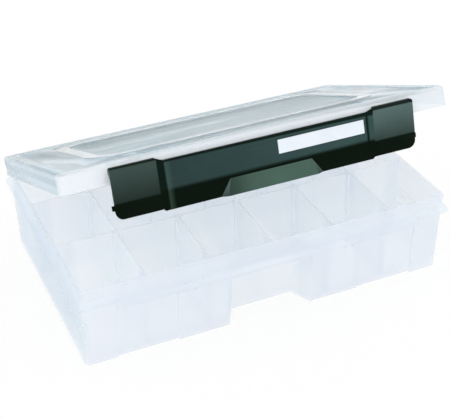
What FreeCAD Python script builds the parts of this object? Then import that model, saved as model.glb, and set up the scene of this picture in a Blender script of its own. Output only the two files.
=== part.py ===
import FreeCAD, Part

import os
from math import cos, radians, sin, tan

from FreeCAD import Vector

# A tackle box: a compartment tray, a hinged lid and a full-width latch.
# Millimetres. The origin is the middle of the underside, +Z is up and the front faces -Y.
# The lid and the latch are made closed and upright, then turned to their stored pose.

# Tray, overall
RIM_LENGTH = 356.0
RIM_DEPTH = 231.0
TRAY_HEIGHT = 83.4
WALL = 2.0
FLOOR = 2.2
CORNER_RADIUS = 5.0
BOTTOM_CHAMFER = 1.5

# Lower walls, measured in from the rim bead
SIDE_SET_IN = 0.8
SIDE_TAPER = 0.3
FACE_SET_IN = 2.0
FACE_TAPER = 3.7

# Rim bead and the flare under it, heights measured down from the rim
BEAD_PROUD = 0.8
BEAD_HEIGHT = 2.2
BEAD_SLOPE = 0.8
RIM_CHAMFER = 0.6
FLARE_REACH = 3.6
FLARE_ROOT_DROP = 10.4
FLARE_TIP_DROP = 14.9
FLARE_TIP_THICKNESS = 1.5
FLARE_UNDERSIDE = 2.5

# Front face: corner panels, set-back panels and the finger recess
CORNER_PANEL = 31.0
SET_BACK_PANEL = 57.0
SET_BACK = 2.0
RECESS_MOUTH = 82.0
RECESS_BACK = 60.0
RECESS_DEPTH = 20.8
RECESS_ROOF_DROP = 21.4

# Strike rail along the front, which the latch hooks under
RAIL_PROUD = 1.2
RAIL_TOP_DROP = 12.9
RAIL_SHOULDER = 4.0
RAIL_BOTTOM_DROP = 25.9
RAIL_WINDOW_CENTRE = 77.5
RAIL_WINDOW_LENGTH = 19.0
RAIL_WINDOW_HEIGHT = 3.0
RAIL_WINDOW_DEPTH = 0.8
GUSSET_SPACING = 7.0
GUSSET_THICKNESS = 1.2
GUSSET_HEIGHT = 3.5

# Compartments
ROWS = 3
COLUMNS = 6
ROW_WALL = 1.8
ROW_WALL_DROP = 0.8
RIB_DEPTH = 2.0
RIB_WIDTH = 3.0
RIB_FOOT_WIDTH = 1.6
RIB_STEP_DROP = 43.4
DIVIDER = 1.5
DIVIDER_DROP = 0.6
SLOT_CLEARANCE = 0.2
DIVIDER_END_CLEARANCE = 0.3

# Lid, closed
LID_RISE = 8.0
LID_SIDE_OVERHANG = 2.4
LID_FACE_OVERHANG = 2.35
LID_WALL = 1.3
LID_PLATE = 1.8
SKIRT_HEIGHT = 17.8
LID_CORNER_RADIUS = 6.5
SKIRT_LIP = 0.7
SKIRT_LIP_HEIGHT = 1.4
LID_EDGE_BEVEL = 3.0
LID_EDGE_DROP = 2.6
REAR_SKIRT_GAP = 0.8
REAR_SKIRT_SETBACK = 9.0
EDGE_BAND = 9.5
BORDER_DROP = 0.6
PANEL_DROP = 1.0
RAISED_BAND = 13.0
RAISED_BAND_END_GAP = 41.0
RAISED_BAND_FRONT = 38.0
RAISED_BAND_BACK = 30.0
RAISED_BAND_RADIUS = 34.0
STRIP_FRONT = 13.0
STRIP_DEPTH = 20.0
STRIP_END_GAP = 75.0
STRIP_RADIUS = 8.0
LID_OPEN_ANGLE = 23.9

# Rear hinge
HINGE_PIN_RADIUS = 1.25
KNUCKLE_WALL = 1.75
KNUCKLE_STAND_OFF = 1.6
HINGE_DROP = 0.9
HINGE_FROM_END = 68.0
LID_KNUCKLE = 16.0
TRAY_KNUCKLE = 8.0
KNUCKLE_GAP = 0.4
KNUCKLE_RELIEF = 0.4
KNUCKLE_WEB_HEIGHT = 8.0

# Pin fits, radial
SEATED_FIT = 0.02
RUNNING_FIT = 0.08

# Latch, hanging straight down from its pivot
LATCH_FROM_END = 38.0
LATCH_CAP = 39.7
LATCH_WALL = 1.8
CAP_TOP = 3.7
CAP_BOTTOM = 40.5
CAP_PROUD = 2.3
CAP_BULGE = 0.3
CAP_TUCK = 0.6
CAP_SIDE_WALL = 1.8
CAP_LOWER_CORNER = 7.0
CAP_UPPER_CORNER = 2.5
CAP_SHOULDER = 1.0
CAP_STEP_RUN = 3.0
TOP_FLANGE = 1.3
FLANGE_BACK = 0.2
PLATE_TOP_DROP = 4.0
PLATE_BELOW_CAP = 2.0
PLATE_CORNER = 1.0
CREASE_DROP = 27.1
CREASE_BULGE = 1.1
PLATE_TUCK = 0.3
THUMB_HEIGHT = 14.3
THUMB_TOP = 76.0
THUMB_BOTTOM = 84.0
THUMB_FLARE = 3.0
THUMB_CHEEK = 6.0
THUMB_SIDE_WALL = 2.0
HOOK_INNER = 46.0
HOOK_OUTER = 66.0
HOOK_REST_CLEARANCE = 0.5
HOOK_DROP = 1.0
HOOK_TIP = 1.1
HOOK_ROOT = 3.4
NUB_REACH = 2.0
NUB_HEIGHT = 4.4
NUB_THICKNESS = 1.6
NUB_DROP = 30.2
LATCH_LEAN = 8.35

# Latch pivots
LATCH_PIN_RADIUS = 1.0
EAR_WALL = 1.0
EAR = 4.0
EAR_GAP = 0.4
EAR_INSET = 3.7
EAR_SPACING = 20.0
EAR_TO_CAP = 0.4
EAR_ARM_DROP = 0.3
PIVOT_STAND_OFF = 2.35
PIVOT_BELOW_LID = 7.0

# Write-on label on the latch
LABEL_CENTRE = 49.7
LABEL_LENGTH = 82.5
LABEL_HEIGHT = 12.0
LABEL_DROP = 5.2
LABEL_THICKNESS = 0.4
LABEL_RECESS = 0.3
LABEL_MARGIN = 0.15

# Places worked out from the sizes above
HALF_LENGTH = RIM_LENGTH / 2
HALF_DEPTH = RIM_DEPTH / 2
FLARE_BASE = TRAY_HEIGHT - FLARE_TIP_DROP - FLARE_TIP_THICKNESS - FLARE_UNDERSIDE
RECESS_ROOF = TRAY_HEIGHT - RECESS_ROOF_DROP
RAIL_BOTTOM = TRAY_HEIGHT - RAIL_BOTTOM_DROP
RAIL_FRONT = -HALF_DEPTH - RAIL_PROUD
STEP_X = HALF_LENGTH - CORNER_PANEL
PANEL_X = STEP_X - SET_BACK_PANEL
KNUCKLE_RADIUS = HINGE_PIN_RADIUS + KNUCKLE_WALL
HINGE_Y = HALF_DEPTH + KNUCKLE_RADIUS + KNUCKLE_STAND_OFF
HINGE_Z = TRAY_HEIGHT - HINGE_DROP
LID_TOP = TRAY_HEIGHT + LID_RISE
LID_HALF_LENGTH = HALF_LENGTH + LID_SIDE_OVERHANG
LID_HALF_DEPTH = HALF_DEPTH + LID_FACE_OVERHANG
SKIRT_BOTTOM = LID_TOP - SKIRT_HEIGHT
EAR_RADIUS = LATCH_PIN_RADIUS + EAR_WALL
PIVOT_Y = -LID_HALF_DEPTH - EAR_RADIUS - PIVOT_STAND_OFF
PIVOT_Z = LID_TOP - PIVOT_BELOW_LID
LATCH_HALF_LENGTH = HALF_LENGTH - LATCH_FROM_END
CAP_X = LATCH_HALF_LENGTH - LATCH_CAP
CAP_BACK = EAR_RADIUS + EAR_TO_CAP
CAP_FACE = CAP_BACK + LATCH_WALL
PLATE_FACE = CAP_FACE - CAP_PROUD
PLATE_TOP = CAP_TOP - PLATE_TOP_DROP
PLATE_BOTTOM = CAP_BOTTOM + PLATE_BELOW_CAP
CREASE = CAP_TOP - CREASE_DROP
EAR_X = CAP_X + EAR_INSET
PINHOLE_OVERRUN = 1.0


def box_between(low, high):
    """Box from its low corner to its high corner."""
    size = [end - start for start, end in zip(low, high)]
    return Part.makeBox(*size, Vector(*low))


def rounded_wire(corners, place):
    """Closed wire through corners (a, b, radius), each put in space by place(a, b)."""
    bends = []
    for index, (a, b, radius) in enumerate(corners):
        corner = Vector(a, b, 0)
        following = corners[(index + 1) % len(corners)]
        before = Vector(corners[index - 1][0], corners[index - 1][1], 0) - corner
        after = Vector(following[0], following[1], 0) - corner
        before.normalize()
        after.normalize()
        if radius == 0:
            bends.append((corner, None, corner))
            continue
        half_angle = before.getAngle(after) / 2
        bisector = before + after
        bisector.normalize()
        reach = radius / tan(half_angle)
        middle = corner + bisector * (radius / sin(half_angle) - radius)
        bends.append((corner + before * reach, middle, corner + after * reach))
    edges = []
    for index, (start, middle, end) in enumerate(bends):
        if middle is not None:
            arc = Part.Arc(place(start.x, start.y), place(middle.x, middle.y), place(end.x, end.y))
            edges.append(arc.toShape())
        next_start = bends[(index + 1) % len(bends)][0]
        edges.append(Part.makeLine(place(end.x, end.y), place(next_start.x, next_start.y)))
    return Part.Wire(edges)


def flat_wire(corners, z):
    """Level wire at height z."""
    return rounded_wire(corners, lambda x, y: Vector(x, y, z))


def rectangle(half_x, front, back, radius, z):
    """Level rounded rectangle from y = front to y = back, centred left to right."""
    corners = [(-half_x, front), (half_x, front), (half_x, back), (-half_x, back)]
    return flat_wire([(x, y, radius) for x, y in corners], z)


def stack(wires):
    """Solid whose level outlines are joined by straight walls."""
    return Part.makeLoft(wires, True, True)


def bar(section, x_start, x_end):
    """Solid with the (y, z) section, running along X."""
    wire = rounded_wire([(y, z, 0) for y, z in section], lambda y, z: Vector(x_start, y, z))
    return Part.Face(wire).extrude(Vector(x_end - x_start, 0, 0))


def rod(radius, x_start, x_end, y, z):
    """Round rod along X."""
    return Part.makeCylinder(radius, x_end - x_start, Vector(x_start, y, z), Vector(1, 0, 0))


def join(shapes):
    """One solid from touching shapes, without the seams between them."""
    return shapes[0].fuse(shapes[1:]).removeSplitter()


def write(name, shape):
    """Save one piece under its name."""
    shape.exportStep(os.path.join("parts", name + ".step"))


def lower_half_sizes(z):
    """Half length and half depth of the lower walls at height z."""
    drop = 1 - z / FLARE_BASE
    half_x = HALF_LENGTH - SIDE_SET_IN - SIDE_TAPER * drop
    half_y = HALF_DEPTH - FACE_SET_IN - FACE_TAPER * drop
    return half_x, half_y


def stepped_outline(z, inset):
    """Lower wall outline at height z with its front panels and finger recess."""
    half_x, half_y = lower_half_sizes(z)
    half_x -= inset
    half_y -= inset
    radius = CORNER_RADIUS - inset
    slant = (RECESS_MOUTH - RECESS_BACK) / 2 / RECESS_DEPTH
    slant_length = (1 + slant * slant) ** 0.5
    side_shift = inset * (slant_length - slant)
    mouth = RECESS_MOUTH / 2 + side_shift
    recess_end = RECESS_BACK / 2 + side_shift
    step = STEP_X + inset
    panel = PANEL_X - inset
    half_front = [
        (recess_end, -half_y + RECESS_DEPTH, 0),
        (mouth, -half_y, 0),
        (panel, -half_y, 0),
        (panel, -half_y + SET_BACK, 0),
        (step, -half_y + SET_BACK, 0),
        (step, -half_y, 0),
        (half_x, -half_y, radius),
        (half_x, half_y, radius),
    ]
    mirrored = [(-x, y, r) for x, y, r in reversed(half_front)]
    return flat_wire(half_front + mirrored, z)


def plain_outline(z, outset, radius):
    """Rim outline at height z, moved out from the rim bead by outset."""
    half_y = HALF_DEPTH + outset
    return rectangle(HALF_LENGTH + outset, -half_y, half_y, radius, z)


def lower_plain_outline(z, inset):
    """Lower wall outline at height z without the front panels."""
    half_x, half_y = lower_half_sizes(z)
    return rectangle(half_x - inset, -half_y + inset, half_y - inset, CORNER_RADIUS - inset, z)


def tray_block():
    """Outside shape of the tray, solid all through."""
    lower = stack([
        stepped_outline(0, BOTTOM_CHAMFER),
        stepped_outline(BOTTOM_CHAMFER, 0),
        stepped_outline(RECESS_ROOF, 0),
    ])
    flare_tip = TRAY_HEIGHT - FLARE_TIP_DROP
    bead_bottom = TRAY_HEIGHT - BEAD_HEIGHT
    upper = stack([
        lower_plain_outline(RECESS_ROOF, 0),
        lower_plain_outline(FLARE_BASE, 0),
        plain_outline(flare_tip - FLARE_TIP_THICKNESS, FLARE_REACH, CORNER_RADIUS),
        plain_outline(flare_tip, FLARE_REACH, CORNER_RADIUS),
        plain_outline(TRAY_HEIGHT - FLARE_ROOT_DROP, -BEAD_PROUD, CORNER_RADIUS),
        plain_outline(bead_bottom - BEAD_SLOPE, -BEAD_PROUD, CORNER_RADIUS),
        plain_outline(bead_bottom, 0, CORNER_RADIUS),
        plain_outline(TRAY_HEIGHT - RIM_CHAMFER, 0, CORNER_RADIUS),
        plain_outline(TRAY_HEIGHT, -RIM_CHAMFER, CORNER_RADIUS),
    ])
    clear_front = box_between(
        (-STEP_X, -HALF_DEPTH - FLARE_REACH - WALL, RECESS_ROOF),
        (STEP_X, -HALF_DEPTH + BEAD_PROUD, TRAY_HEIGHT + WALL),
    )
    return join([lower, upper.cut(clear_front)])


def rail_length(x_start, x_end, back):
    """One length of the strike rail, whose back lies at y = back."""
    top = TRAY_HEIGHT - RAIL_TOP_DROP
    section = [
        (back, RAIL_BOTTOM),
        (RAIL_FRONT, RAIL_BOTTOM),
        (RAIL_FRONT, top - RAIL_SHOULDER),
        (-HALF_DEPTH + BEAD_PROUD, top),
        (back, top),
    ]
    return bar(section, x_start, x_end)


def strike_rail():
    """Rail across the front between the corner panels, with gussets under its catches."""
    face = -lower_half_sizes(RAIL_BOTTOM)[1]
    embedded = face + SET_BACK + WALL / 2
    mouth = RECESS_MOUTH / 2
    pieces = [rail_length(-mouth, mouth, face)]
    for side in (-1, 1):
        ends = sorted((side * mouth, side * STEP_X))
        pieces.append(rail_length(ends[0], ends[1], embedded))
        for step in (-0.5, 0.5):
            x = side * RAIL_WINDOW_CENTRE + step * GUSSET_SPACING
            section = [(embedded, RAIL_BOTTOM - GUSSET_HEIGHT), (face, RAIL_BOTTOM - GUSSET_HEIGHT),
                       (RAIL_FRONT, RAIL_BOTTOM), (embedded, RAIL_BOTTOM)]
            pieces.append(bar(section, x - GUSSET_THICKNESS / 2, x + GUSSET_THICKNESS / 2))
    return pieces


def rail_windows():
    """Shallow pockets in the rail over its two catches."""
    top = TRAY_HEIGHT - RAIL_TOP_DROP - RAIL_SHOULDER
    pockets = []
    for side in (-1, 1):
        x = side * RAIL_WINDOW_CENTRE
        low = (x - RAIL_WINDOW_LENGTH / 2, RAIL_FRONT - WALL, top - RAIL_WINDOW_HEIGHT)
        high = (x + RAIL_WINDOW_LENGTH / 2, RAIL_FRONT + RAIL_WINDOW_DEPTH, top)
        pockets.append(box_between(low, high))
    return pockets


def inside_space(inset, floor, roof):
    """Space inside the walls, moved in by inset, from the floor to above the rim."""
    lower = stack([stepped_outline(floor, inset), stepped_outline(roof, inset)])
    above = TRAY_HEIGHT + WALL
    rim_half_y = HALF_DEPTH - BEAD_PROUD - inset
    upper = stack([
        lower_plain_outline(roof, inset),
        rectangle(HALF_LENGTH - BEAD_PROUD - inset, -rim_half_y, rim_half_y, CORNER_RADIUS - inset, above),
    ])
    return join([lower, upper])


def divider_positions():
    """X of every divider, from left to right."""
    pitch = RIM_LENGTH / COLUMNS
    return [(index - COLUMNS / 2) * pitch for index in range(1, COLUMNS)]


def row_wall_positions():
    """Y of the fixed walls between the rows, from front to back."""
    pitch = RIM_DEPTH / ROWS
    return [(index - ROWS / 2) * pitch for index in range(1, ROWS)]


def rib_slabs():
    """Upright slabs either side of every divider slot, wide above and narrow below."""
    half_slot = DIVIDER / 2 + SLOT_CLEARANCE
    step_z = TRAY_HEIGHT - RIB_STEP_DROP
    slabs = []
    for x in divider_positions():
        for side in (-1, 1):
            for width, low, high in ((RIB_WIDTH, step_z, TRAY_HEIGHT - ROW_WALL_DROP),
                                     (RIB_FOOT_WIDTH, 0, step_z)):
                ends = sorted((x + side * half_slot, x + side * (half_slot + width)))
                slabs.append(box_between((ends[0], -HALF_DEPTH, low), (ends[1], HALF_DEPTH, high)))
    return slabs


def inside_features():
    """Fixed row walls and every divider rib."""
    roof = RECESS_ROOF + WALL
    row_top = TRAY_HEIGHT - ROW_WALL_DROP
    near_walls = [inside_space(WALL - SEATED_FIT, 0, roof).cut(inside_space(WALL + RIB_DEPTH, -WALL, roof))]
    walls = []
    for y in row_wall_positions():
        half = ROW_WALL / 2
        walls.append(box_between((-HALF_LENGTH, y - half, 0), (HALF_LENGTH, y + half, row_top)))
        reach = half + RIB_DEPTH
        near_walls.append(box_between((-HALF_LENGTH, y - reach, 0), (HALF_LENGTH, y + reach, row_top)))
    slabs = Part.makeCompound(rib_slabs())
    ribs = [slabs.common(region) for region in near_walls]
    return walls + ribs


def hinge_positions():
    """X of the three rear hinges."""
    outer = HALF_LENGTH - HINGE_FROM_END
    return {"left": -outer, "centre": 0.0, "right": outer}


def tray_knuckles():
    """Tray halves of the rear hinges: two knuckles each, with a web to the rear wall."""
    wall_y = HALF_DEPTH - BEAD_PROUD - WALL / 2
    section = [
        (wall_y, HINGE_Z + HINGE_DROP / 2),
        (HINGE_Y, HINGE_Z + HINGE_DROP / 2),
        (HINGE_Y, HINGE_Z - KNUCKLE_RADIUS),
        (wall_y, HINGE_Z - KNUCKLE_WEB_HEIGHT),
    ]
    pieces = []
    for x in hinge_positions().values():
        for side in (-1, 1):
            inner = LID_KNUCKLE / 2 + KNUCKLE_GAP
            ends = sorted((x + side * inner, x + side * (inner + TRAY_KNUCKLE)))
            pieces.append(rod(KNUCKLE_RADIUS, ends[0], ends[1], HINGE_Y, HINGE_Z))
            pieces.append(bar(section, ends[0], ends[1]))
    return pieces


def hinge_bores(clearance):
    """Holes on the hinge line, one through each hinge."""
    reach = LID_KNUCKLE / 2 + KNUCKLE_GAP + TRAY_KNUCKLE + PINHOLE_OVERRUN
    radius = HINGE_PIN_RADIUS + clearance
    return [rod(radius, x - reach, x + reach, HINGE_Y, HINGE_Z) for x in hinge_positions().values()]


def base_tray():
    """Tray with its rail, row walls, ribs and hinge knuckles, moulded in one."""
    outside = join([tray_block()] + strike_rail())
    space = inside_space(WALL, FLOOR, RECESS_ROOF + WALL).cut(inside_features())
    tray = join([outside.cut(space)] + tray_knuckles())
    return tray.cut(rail_windows() + hinge_bores(SEATED_FIT))


def divider(row, x):
    """Removable divider in one row, cut to the space between its two walls."""
    clearance = DIVIDER_END_CLEARANCE
    roof = RECESS_ROOF + WALL + clearance
    edges = [-HALF_DEPTH] + row_wall_positions() + [HALF_DEPTH]
    gap = ROW_WALL / 2 + clearance
    front = edges[row] + (gap if row > 0 else 0)
    back = edges[row + 1] - (gap if row < ROWS - 1 else 0)
    plate = box_between(
        (x - DIVIDER / 2, front, FLOOR),
        (x + DIVIDER / 2, back, TRAY_HEIGHT - DIVIDER_DROP),
    )
    return plate.common(inside_space(WALL + clearance, FLOOR, roof))


def lid_outline(z, outset):
    """Lid outline at height z, moved out from the skirt by outset."""
    half_y = LID_HALF_DEPTH + outset
    return rectangle(LID_HALF_LENGTH + outset, -half_y, half_y, LID_CORNER_RADIUS + outset, z)


def lid_ring_space(end_gap, front_gap, back_gap, radius, depth):
    """Rounded pocket in the lid top, set in from the lid's edges and cut down by depth."""
    half_x = LID_HALF_LENGTH - end_gap
    front = -LID_HALF_DEPTH + front_gap
    back = LID_HALF_DEPTH - back_gap
    wires = [rectangle(half_x, front, back, radius, z) for z in (LID_TOP - depth, LID_TOP + WALL)]
    return stack(wires)


def lid_top_pockets():
    """Sunk border, centre panel and front strip, which leave the raised bands standing."""
    corner = LID_CORNER_RADIUS
    border = lid_ring_space(EDGE_BAND, EDGE_BAND, EDGE_BAND, corner, BORDER_DROP)
    band = lid_ring_space(RAISED_BAND_END_GAP, RAISED_BAND_FRONT, RAISED_BAND_BACK,
                          RAISED_BAND_RADIUS, BORDER_DROP + WALL)
    panel = lid_ring_space(RAISED_BAND_END_GAP + RAISED_BAND, RAISED_BAND_FRONT + RAISED_BAND,
                           RAISED_BAND_BACK + RAISED_BAND, RAISED_BAND_RADIUS - RAISED_BAND, PANEL_DROP)
    strip_back = 2 * LID_HALF_DEPTH - STRIP_FRONT - STRIP_DEPTH
    strip = lid_ring_space(STRIP_END_GAP, STRIP_FRONT, strip_back, STRIP_RADIUS, PANEL_DROP)
    return [border.cut(band), panel, strip]


def lid_shell():
    """Lid plate and skirt, open below and cut short along the rear hinge."""
    outside = stack([
        lid_outline(SKIRT_BOTTOM, SKIRT_LIP),
        lid_outline(SKIRT_BOTTOM + SKIRT_LIP_HEIGHT, SKIRT_LIP),
        lid_outline(SKIRT_BOTTOM + SKIRT_LIP_HEIGHT + SKIRT_LIP, 0),
        lid_outline(LID_TOP - LID_EDGE_DROP, 0),
        lid_outline(LID_TOP - LID_EDGE_DROP / 3, -LID_EDGE_BEVEL / 3),
        lid_outline(LID_TOP, -LID_EDGE_BEVEL),
    ])
    inside = stack([
        lid_outline(SKIRT_BOTTOM - WALL, -LID_WALL),
        lid_outline(LID_TOP - LID_EDGE_DROP - LID_PLATE, -LID_WALL),
        lid_outline(LID_TOP - PANEL_DROP - LID_PLATE, -LID_WALL - LID_EDGE_BEVEL / 3),
    ])
    reach = LID_HALF_LENGTH + SKIRT_LIP + WALL
    rear = box_between(
        (-reach, LID_HALF_DEPTH - REAR_SKIRT_SETBACK, SKIRT_BOTTOM - WALL),
        (reach, LID_HALF_DEPTH + WALL, TRAY_HEIGHT + REAR_SKIRT_GAP),
    )
    return outside.cut([inside, rear] + lid_top_pockets())


def lid_knuckles():
    """Lid halves of the rear hinges, each on an arm from the lid's rear edge."""
    inner_y = LID_HALF_DEPTH - LID_WALL
    top = LID_TOP - LID_EDGE_DROP
    section = [
        (HINGE_Y - KNUCKLE_RADIUS, HINGE_Z),
        (HINGE_Y + KNUCKLE_RADIUS, HINGE_Z),
        (LID_HALF_DEPTH, top),
        (inner_y, top),
        (inner_y, TRAY_HEIGHT + REAR_SKIRT_GAP),
    ]
    pieces = []
    for x in hinge_positions().values():
        ends = (x - LID_KNUCKLE / 2, x + LID_KNUCKLE / 2)
        pieces.append(rod(KNUCKLE_RADIUS, ends[0], ends[1], HINGE_Y, HINGE_Z))
        pieces.append(bar(section, ends[0], ends[1]))
    return pieces


def knuckle_reliefs():
    """Round clearance in the lid's rear edge over each tray knuckle."""
    radius = KNUCKLE_RADIUS + KNUCKLE_RELIEF
    reliefs = []
    for x in hinge_positions().values():
        for side in (-1, 1):
            inner = LID_KNUCKLE / 2
            outer = inner + TRAY_KNUCKLE + 2 * KNUCKLE_GAP
            ends = sorted((x + side * inner, x + side * outer))
            reliefs.append(rod(radius, ends[0], ends[1], HINGE_Y, HINGE_Z))
    return reliefs


def latch_pivot_spans():
    """Left and right end of each latch pivot, from outer ear to outer ear."""
    end = EAR_X + EAR_SPACING + 2 * EAR
    return {"left": (-end, -EAR_X), "right": (EAR_X, end)}


def lid_ears():
    """Ears on the lid's front skirt, which carry the latch pins."""
    back = -LID_HALF_DEPTH + LID_WALL / 2
    pieces = []
    for start, end in latch_pivot_spans().values():
        for x in (start, end - EAR):
            low = (x, PIVOT_Y, PIVOT_Z - EAR_RADIUS)
            high = (x + EAR, back, PIVOT_Z - EAR_ARM_DROP)
            pieces.append(box_between(low, high))
            pieces.append(rod(EAR_RADIUS, x, x + EAR, PIVOT_Y, PIVOT_Z))
    return pieces


def latch_bores(clearance):
    """Holes on the latch pivot line, one through each pair of ears."""
    radius = LATCH_PIN_RADIUS + clearance
    over = PINHOLE_OVERRUN
    spans = latch_pivot_spans().values()
    return [rod(radius, start - over, end + over, PIVOT_Y, PIVOT_Z) for start, end in spans]


def closed_lid():
    """Lid in its closed place."""
    shell = lid_shell().cut(knuckle_reliefs())
    lid = join([shell] + lid_knuckles() + lid_ears())
    return lid.cut(hinge_bores(RUNNING_FIT) + latch_bores(SEATED_FIT))


def latch_bar(section, x_start, x_end):
    """Bar along X whose section is (out, up) from the latch pivot."""
    return bar([(PIVOT_Y - out, PIVOT_Z + up) for out, up in section], x_start, x_end)


def latch_front(corners):
    """Block in front of and behind the latch with the (x, up, radius) front outline."""
    deep = CAP_FACE + THUMB_FLARE + WALL
    wire = rounded_wire(corners, lambda x, up: Vector(x, PIVOT_Y - deep, PIVOT_Z + up))
    return Part.Face(wire).extrude(Vector(0, 2 * deep, 0))


def hook_point():
    """Tip of the hook as (out, up) from the pivot, from where it passes the strike rail."""
    lean = radians(LATCH_LEAN)
    y = RAIL_FRONT - HOOK_REST_CLEARANCE - PIVOT_Y
    z = RAIL_BOTTOM - HOOK_DROP - PIVOT_Z
    out = -(y * cos(lean) + z * sin(lean))
    up = z * cos(lean) - y * sin(lean)
    return out, up


def faces_solid(faces):
    """Solid inside flat faces, each given as its (x, out, up) corners from the latch pivot."""
    sides = []
    for corners in faces:
        points = [Vector(x, PIVOT_Y - out, PIVOT_Z + up) for x, out, up in corners]
        sides.append(Part.Face(Part.makePolygon(points + points[:1])))
    solid = Part.Solid(Part.Shell(sides))
    if solid.Volume < 0:
        solid.reverse()
    return solid


def cap_out(up):
    """Face of the proud ends at height up: it bulges a little at the crease."""
    if up > CREASE:
        return CAP_FACE + CAP_BULGE * (CAP_TOP - up) / CREASE_DROP
    share = (CREASE - up) / (CREASE + PLATE_BOTTOM)
    return CAP_FACE + CAP_BULGE - (CAP_BULGE + CAP_TUCK) * share


def plate_out(up):
    """Face of the middle at height up: its upper face looks upwards, its lower face turns in."""
    if up > CREASE:
        return PLATE_FACE + CREASE_BULGE * (CAP_TOP - up) / CREASE_DROP
    return PLATE_FACE + CREASE_BULGE - PLATE_TUCK * (CREASE - up) / (CREASE + PLATE_BOTTOM)


def step_root(up):
    """Distance from the middle to where the slanted step up to a proud end begins."""
    return CAP_X - CAP_STEP_RUN * (cap_out(up) - plate_out(up))


def latch_wall():
    """Front wall of the latch, proud at both ends, with a crease along its whole length."""
    end = LATCH_HALF_LENGTH
    rings = []
    for up in (CAP_TOP, CREASE, -PLATE_BOTTOM):
        front = [(-end, cap_out(up)), (-CAP_X, cap_out(up)), (-step_root(up), plate_out(up))]
        front += [(-x, out) for x, out in reversed(front)]
        back = [(x, out - LATCH_WALL) for x, out in reversed(front)]
        rings.append([(x, out, up) for x, out in front + back])
    faces = [rings[0], rings[-1]]
    for upper, lower in zip(rings, rings[1:]):
        for index in range(len(upper)):
            before = index - 1
            faces.append([upper[before], upper[index], lower[index], lower[before]])
    return faces_solid(faces)


def latch_outline():
    """Front outline of the latch as (x, up, radius) corners."""
    half = [
        (step_root(-PLATE_BOTTOM), -PLATE_BOTTOM, PLATE_CORNER),
        (CAP_X - CAP_SHOULDER, -CAP_BOTTOM, PLATE_CORNER / 2),
        (LATCH_HALF_LENGTH, -CAP_BOTTOM, CAP_LOWER_CORNER),
        (LATCH_HALF_LENGTH, CAP_TOP, CAP_UPPER_CORNER),
        (CAP_X + CAP_SHOULDER, CAP_TOP, PLATE_CORNER),
        (step_root(CAP_TOP), PLATE_TOP, PLATE_CORNER),
    ]
    return half + [(-x, up, radius) for x, up, radius in reversed(half)]


def thumb_piece():
    """Flared thumb grip at the bottom of the latch, and the hollow behind it."""
    top = -PLATE_BOTTOM + THUMB_HEIGHT
    tip = plate_out(-PLATE_BOTTOM) + THUMB_FLARE
    inside = LATCH_WALL / 2

    def on_plate(x, up, depth):
        return (x, plate_out(up) - depth, up)

    half_top = THUMB_TOP / 2
    half_bottom = THUMB_BOTTOM / 2
    half_foot = half_bottom + THUMB_CHEEK
    low = -PLATE_BOTTOM
    face = [on_plate(-half_top, top, 0), on_plate(half_top, top, 0),
            (half_bottom, tip, low), (-half_bottom, tip, low)]
    foot = [on_plate(-half_foot, low, 0), on_plate(half_foot, low, 0)]
    deep = [on_plate(-half_top, top, inside), on_plate(half_top, top, inside),
            on_plate(half_foot, low, inside), on_plate(-half_foot, low, inside)]
    grip = faces_solid([
        face,
        deep,
        [face[0], face[1], deep[1], deep[0]],
        [face[0], face[3], foot[0]],
        [face[1], face[2], foot[1]],
        [face[0], foot[0], deep[3], deep[0]],
        [face[1], foot[1], deep[2], deep[1]],
        [foot[0], face[3], face[2], foot[1], deep[2], deep[3]],
    ])
    back = plate_out(top) - LATCH_WALL
    hollow_section = [
        (back - WALL, low - WALL),
        (tip - LATCH_WALL, low - WALL),
        (tip - LATCH_WALL, low),
        (back + SLOT_CLEARANCE, top - LATCH_WALL),
        (back - WALL, top - LATCH_WALL),
    ]
    half_hollow = half_top - THUMB_SIDE_WALL
    return grip, latch_bar(hollow_section, -half_hollow, half_hollow)


def top_flanges():
    """Flanges that turn back from the top edges of the middle and of the proud ends."""
    deep_back = LATCH_WALL / 2 - PIVOT_STAND_OFF
    pieces = []
    for back, face, top, start, end in (
            (deep_back, plate_out(PLATE_TOP), PLATE_TOP, -CAP_X, CAP_X),
            (FLANGE_BACK, cap_out(CAP_TOP), CAP_TOP, -LATCH_HALF_LENGTH, -CAP_X),
            (FLANGE_BACK, cap_out(CAP_TOP), CAP_TOP, CAP_X, LATCH_HALF_LENGTH)):
        front = face - LATCH_WALL / 2
        section = [(back, top - TOP_FLANGE), (front, top - TOP_FLANGE), (front, top), (back, top)]
        pieces.append(latch_bar(section, start, end))
    return pieces


def side_wall(side):
    """Outer end wall of a proud end, deeper beside the pivot."""
    back = LATCH_WALL / 2 - PIVOT_STAND_OFF
    lower_back = CAP_BACK - CAP_TUCK
    inside = LATCH_WALL / 4
    section = [
        (back, CAP_TOP),
        (cap_out(CAP_TOP) - inside, CAP_TOP),
        (cap_out(CREASE) - inside, CREASE),
        (cap_out(-CAP_BOTTOM) - inside, -CAP_BOTTOM),
        (lower_back, -CAP_BOTTOM),
        (lower_back, -EAR_RADIUS - CAP_TOP),
        (back, -EAR_RADIUS),
    ]
    outer = side * LATCH_HALF_LENGTH
    ends = sorted((outer - side * CAP_SIDE_WALL, outer))
    return latch_bar(section, ends[0], ends[1])


def latch_knuckle(side):
    """Knuckle between a pair of lid ears, joined to the back of the cap and its flange."""
    start, end = latch_pivot_spans()["left" if side < 0 else "right"]
    start += EAR + EAR_GAP
    end -= EAR + EAR_GAP
    front = CAP_BACK + SLOT_CLEARANCE
    under = CAP_TOP - TOP_FLANGE / 2
    web = [(0, -EAR_RADIUS), (front, -EAR_RADIUS), (front, under), (FLANGE_BACK, under), (0, EAR_RADIUS)]
    return [rod(EAR_RADIUS, start, end, PIVOT_Y, PIVOT_Z), latch_bar(web, start, end)]


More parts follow.
